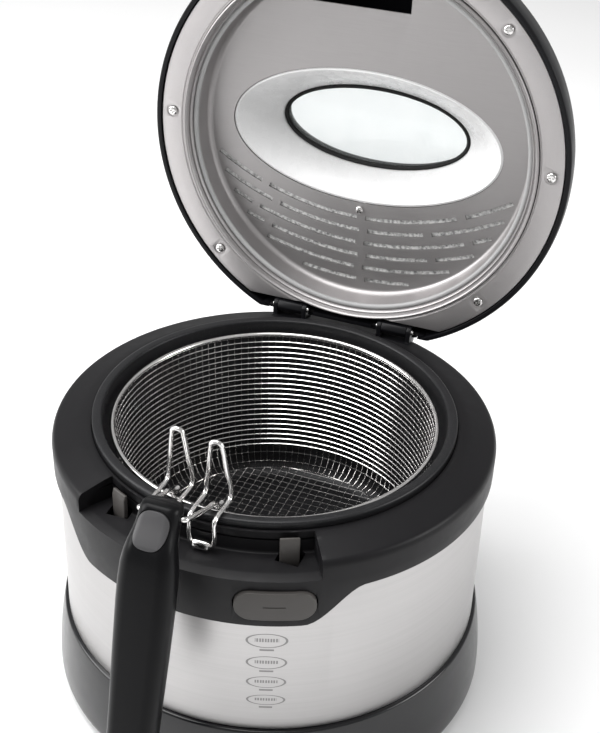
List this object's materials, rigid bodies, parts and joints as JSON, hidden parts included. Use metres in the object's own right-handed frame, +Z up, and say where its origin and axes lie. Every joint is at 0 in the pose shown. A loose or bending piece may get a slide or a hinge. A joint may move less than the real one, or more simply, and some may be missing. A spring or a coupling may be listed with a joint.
{
  "type": "deep fryer",
  "caption": "Small round deep fryer with a hinged vented lid, a front release button, a fixed bowl and a lift-out wire basket with a folding handle.",
  "frame": {"origin": "on the table, under the middle of the footprint's bounding box with the lid standing open and the handle hanging", "axes": "+Z up, front (release button and handle) at -Y, +X to the right seen from the front"},
  "size_m": [0.2792, 0.3812, 0.4478],
  "materials": {
    "base_plastic": "black moulded plastic, semi-gloss",
    "deck_plastic": "dark grey moulded plastic, satin",
    "black_plastic": "black moulded plastic, fine texture",
    "button_plastic": "warm grey moulded plastic",
    "white_plastic": "light grey glossy plastic",
    "nonstick": "dark non-stick coating on pressed aluminium",
    "steel": "brushed stainless sheet",
    "wire": "bright chromed wire",
    "lid_metal": "satin pressed aluminium",
    "seal": "light grey silicone",
    "foot_rubber": "black rubber",
    "ceramic": "ivory ceramic-filled moulding",
    "felt": "carbon filter felt",
    "pane": "clear tempered pane"
  },
  "bodies": {
    "housing": {"base_shell": "base_plastic", "base_plate": "base_plastic", "foot_1": "foot_rubber", "foot_2": "foot_rubber", "foot_3": "foot_rubber", "foot_4": "foot_rubber", "steel_band": "steel", "deck_ring": "deck_plastic", "bowl": "nonstick", "heating_element": "lid_metal", "thermostat": "ceramic", "thermal_fuse": "lid_metal", "terminal_block": "ceramic", "cord_inlet": "black_plastic", "hinge_bracket_left": "black_plastic", "hinge_bracket_right": "black_plastic", "hinge_pin_left": "wire", "hinge_pin_right": "wire", "spring_seat": "black_plastic"},
    "lid": {"lid_shell": "black_plastic", "lid_flange": "lid_metal", "vent_plate": "lid_metal", "vent_plate_screw": "wire", "lid_seal": "seal", "filter_pad": "felt", "window_well": "white_plastic", "window_glass": "pane", "window_gasket": "foot_rubber", "lid_hinge_plate": "black_plastic", "lid_striker_left": "wire", "lid_striker_right": "wire", "lid_screw_1": "wire", "lid_screw_2": "wire", "lid_screw_3": "wire", "lid_screw_4": "wire", "lid_screw_5": "wire", "lid_screw_6": "wire"},
    "release": {"release_button": "button_plastic"},
    "latch": {"latch_bar": "black_plastic", "latch_catch_left": "button_plastic", "latch_catch_right": "button_plastic", "latch_spring": "steel"},
    "basket": {"basket": "wire", "basket_rim": "wire", "hook_wire_left": "wire", "hook_wire_right": "wire", "hook_sleeve_left": "wire", "hook_sleeve_right": "wire", "handle_fork": "wire"},
    "handle": {"handle_front": "black_plastic", "handle_back": "black_plastic"},
    "handle_press": {"handle_button": "button_plastic", "handle_spring": "steel"}
  },
  "joints": [
    {"name": "lid_hinge", "type": "hinge", "parent": "housing", "child": "lid", "pos_m": [0, 0.12688, 0.191], "axis": [-1, 0, 0], "range_deg": [-92.4, 0]},
    {"name": "release_press", "type": "slide", "parent": "housing", "child": "release", "axis": [-0.3795, 0.9252, 0], "range_m": [0, 0.0025], "stiffness_N_per_m": 300, "springref_m": -0.002},
    {"name": "latch_slide", "type": "slide", "parent": "housing", "child": "latch", "axis": [0, 1, 0], "range_m": [0, 0.0025], "deforming": ["latch_spring"]},
    {"name": "basket_lift", "type": "slide", "parent": "housing", "child": "basket", "axis": [0, 0, 1], "range_m": [0, 0.13]},
    {"name": "handle_fold", "type": "hinge", "parent": "basket", "child": "handle", "pos_m": [-0.008, -0.13312, 0.209], "axis": [-1, 0, 0], "range_deg": [0, 75]},
    {"name": "handle_press", "type": "slide", "parent": "handle", "child": "handle_press", "axis": [0, 0.9659, -0.2588], "range_m": [0, 0.002], "stiffness_N_per_m": 300, "springref_m": -0.002, "deforming": ["handle_spring"]}
  ],
  "couplings": [
    {"joint": "latch_slide", "follows": "release_press", "ratio": 1}
  ]
}
